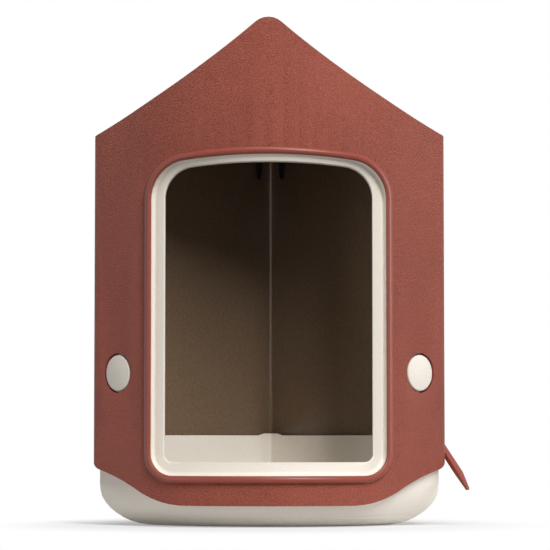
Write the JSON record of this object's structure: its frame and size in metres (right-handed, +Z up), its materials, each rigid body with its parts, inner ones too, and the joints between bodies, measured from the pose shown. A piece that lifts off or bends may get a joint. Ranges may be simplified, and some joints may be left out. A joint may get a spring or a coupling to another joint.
{
  "type": "corner house bird feeder",
  "caption": "Plastic house-shaped bird feeder with a bowed front, framed window, lift-out feed tray, press-button latches, rear hanger and tie strap",
  "frame": {"origin": "middle of the foot's sole on the table, midway between the two side corners", "axes": "+X to the right seen from the window, +Y to the rear corner, +Z up"},
  "size_m": [0.2155, 0.1638, 0.2823],
  "materials": {
    "brick_plastic": "fine sandy grain, matt",
    "cream_plastic": "smooth, soft sheen",
    "taupe_plastic": "fine grain, matt",
    "black_plastic": "satin",
    "brick_rubber": "matt"
  },
  "bodies": {
    "feeder": {"outer_shell": "brick_plastic", "window_frame": "cream_plastic", "rear_housing": "taupe_plastic", "base": "cream_plastic", "foot_sole": "cream_plastic", "rear_hanger": "black_plastic", "strap_stud": "brick_plastic"},
    "left_press": {"left_button": "cream_plastic", "left_latch": "cream_plastic"},
    "right_press": {"right_button": "cream_plastic", "right_latch": "cream_plastic"},
    "tray": {"feed_tray": "cream_plastic"},
    "strap": {"tie_strap": "brick_rubber"}
  },
  "joints": [
    {"name": "left_button_press", "type": "hinge", "parent": "feeder", "child": "left_press", "pos_m": [-0.08079, -0.01209, 0.044], "axis": [-0.7071, 0.7071, 0], "range_deg": [0, 5], "stiffness_Nm_per_rad": 1},
    {"name": "right_button_press", "type": "hinge", "parent": "feeder", "child": "right_press", "pos_m": [0.08079, -0.01209, 0.044], "axis": [-0.7071, -0.7071, 0], "range_deg": [0, 5], "stiffness_Nm_per_rad": 1},
    {"name": "feed_tray_lift", "type": "slide", "parent": "feeder", "child": "tray", "axis": [0, 0, 1], "range_m": [0, 0.06]},
    {"name": "strap_turn", "type": "hinge", "parent": "feeder", "child": "strap", "pos_m": [0.07096, 0.03606, 0.0896], "axis": [0.7071, 0.7071, 0], "range_deg": [-100, 20]}
  ]
}
